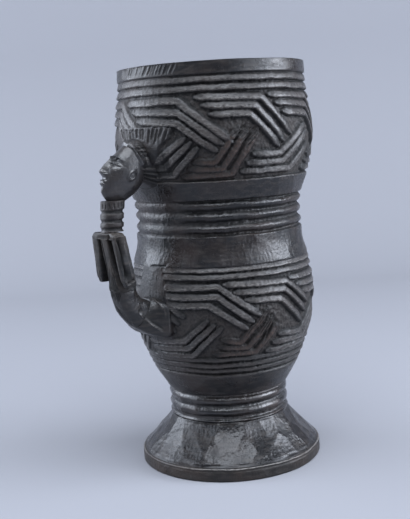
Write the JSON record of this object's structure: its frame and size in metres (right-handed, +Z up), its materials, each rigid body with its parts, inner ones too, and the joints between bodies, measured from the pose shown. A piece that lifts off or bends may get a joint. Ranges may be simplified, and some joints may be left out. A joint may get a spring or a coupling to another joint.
{
  "type": "footed drinking cup",
  "caption": "Tall carved wooden drinking cup on a flared foot, with bands of plaited straps and a loop handle shaped as a head, neck and body.",
  "frame": {"origin": "centre of the foot's resting face", "axes": "+Z up along the cup's axis, the handle on the -X side with its figure looking along -X"},
  "size_m": [0.1225, 0.1002, 0.2],
  "materials": {
    "dark_wood": "near-black oiled hardwood, adzed, satin",
    "carved_wood": "near-black hardwood with knife-cut ridges and dust in the grooves",
    "polished_wood": "near-black hardwood, smoothed and hand-polished",
    "worn_edge_wood": "dark brown hardwood, worn bare at the edge"
  },
  "bodies": {
    "root": {"foot_edge": "worn_edge_wood", "foot_cone": "dark_wood", "foot_collar": "dark_wood", "bowl_floor": "dark_wood", "lower_border": "carved_wood", "lower_plait_wall": "carved_wood", "lower_crown": "carved_wood", "lower_plain_band": "polished_wood", "waist_rings": "carved_wood", "upper_plain_band": "polished_wood", "upper_border": "carved_wood", "upper_plait_wall": "carved_wood", "rim_ridges": "carved_wood", "lip": "polished_wood", "head_bridge": "dark_wood", "hair_cap": "carved_wood", "head": "polished_wood", "neck_rings": "carved_wood", "shoulders": "dark_wood", "left_arm": "dark_wood", "right_arm": "dark_wood", "torso": "dark_wood", "handle_stem": "polished_wood", "root_leaf": "dark_wood"}
  },
  "joints": []
}
